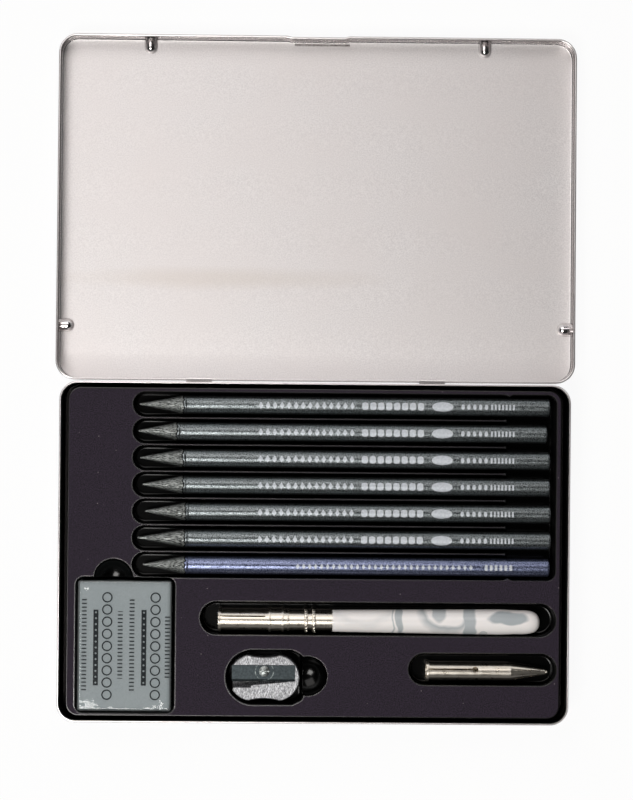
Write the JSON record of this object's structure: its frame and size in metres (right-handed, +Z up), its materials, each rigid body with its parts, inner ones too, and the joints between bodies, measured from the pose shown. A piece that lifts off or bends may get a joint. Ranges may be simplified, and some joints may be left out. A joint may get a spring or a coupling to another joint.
{
  "type": "graphite pencil tin",
  "caption": "Hinged flat metal tin with a moulded insert holding woodless graphite pencils, a wrapped putty eraser, a pencil extender, a wedge sharpener and a point protector.",
  "frame": {"origin": "centre of the base's flat underside, on the table", "axes": "+X along the tin, pencil points towards -X; +Y from the base towards the opened lid; +Z up"},
  "size_m": [0.2232, 0.2952, 0.0192],
  "materials": {
    "tinplate": "satin tinplate",
    "insert_black": "black vacuum-formed sheet, matte deck and glossy pockets",
    "graphite": "bare graphite, slight sheen",
    "lacquer": "metallic dark grey-green lacquer",
    "putty": "matt grey putty",
    "film": "clear wrinkled film",
    "ivory_handle": "polished, faint grey marbling",
    "nickel": "nickel plate",
    "cast_alloy": "fine brushed grain",
    "blade_steel": "bare steel"
  },
  "bodies": {
    "base": {"base_tray": "tinplate"},
    "lid": {"lid": "tinplate"},
    "insert": {"insert_tray": "insert_black"},
    "eraser": {"eraser_putty": "putty", "eraser_wrap": "film"},
    "extender": {"extender_handle": "ivory_handle", "extender_ferrule": "nickel", "extender_jaws": "nickel"},
    "extender_ring": {"extender_ring": "nickel"},
    "sharpener": {"sharpener_body": "cast_alloy", "sharpener_blade": "blade_steel", "sharpener_screw": "blade_steel"},
    "point_protector": {"point_protector": "nickel"},
    "pencil_1": {"pencil_1_graphite": "graphite", "pencil_1_lacquer": "lacquer"},
    "pencil_2": {"pencil_2_graphite": "graphite", "pencil_2_lacquer": "lacquer"},
    "pencil_3": {"pencil_3_graphite": "graphite", "pencil_3_lacquer": "lacquer"},
    "pencil_4": {"pencil_4_graphite": "graphite", "pencil_4_lacquer": "lacquer"},
    "pencil_5": {"pencil_5_graphite": "graphite", "pencil_5_lacquer": "lacquer"},
    "pencil_6": {"pencil_6_graphite": "graphite", "pencil_6_lacquer": "lacquer"},
    "pencil_7": {"pencil_7_graphite": "graphite", "pencil_7_lacquer": "lacquer"}
  },
  "joints": [
    {"name": "lid_hinge", "type": "hinge", "parent": "base", "child": "lid", "pos_m": [0, 0.07395, 0.0126], "axis": [-1, 0, 0], "range_deg": [-181.39, 0]},
    {"name": "insert_lift", "type": "slide", "parent": "base", "child": "insert", "axis": [0, 0, 1], "range_m": [0, 0.03]},
    {"name": "eraser_lift", "type": "slide", "parent": "insert", "child": "eraser", "axis": [0, 0, 1], "range_m": [0, 0.02]},
    {"name": "extender_lift", "type": "slide", "parent": "insert", "child": "extender", "axis": [0, 0, 1], "range_m": [0, 0.02]},
    {"name": "sharpener_lift", "type": "slide", "parent": "insert", "child": "sharpener", "axis": [0, 0, 1], "range_m": [0, 0.02]},
    {"name": "point_protector_lift", "type": "slide", "parent": "insert", "child": "point_protector", "axis": [0, 0, 1], "range_m": [0, 0.02]},
    {"name": "pencil_1_lift", "type": "slide", "parent": "insert", "child": "pencil_1", "axis": [0, 0, 1], "range_m": [0, 0.02]},
    {"name": "pencil_2_lift", "type": "slide", "parent": "insert", "child": "pencil_2", "axis": [0, 0, 1], "range_m": [0, 0.02]},
    {"name": "pencil_3_lift", "type": "slide", "parent": "insert", "child": "pencil_3", "axis": [0, 0, 1], "range_m": [0, 0.02]},
    {"name": "pencil_4_lift", "type": "slide", "parent": "insert", "child": "pencil_4", "axis": [0, 0, 1], "range_m": [0, 0.02]},
    {"name": "pencil_5_lift", "type": "slide", "parent": "insert", "child": "pencil_5", "axis": [0, 0, 1], "range_m": [0, 0.02]},
    {"name": "pencil_6_lift", "type": "slide", "parent": "insert", "child": "pencil_6", "axis": [0, 0, 1], "range_m": [0, 0.02]},
    {"name": "pencil_7_lift", "type": "slide", "parent": "insert", "child": "pencil_7", "axis": [0, 0, 1], "range_m": [0, 0.02]},
    {"name": "extender_ring_slide", "type": "slide", "parent": "extender", "child": "extender_ring", "axis": [1, 0, 0], "range_m": [-0.0203, 0.0014]}
  ]
}
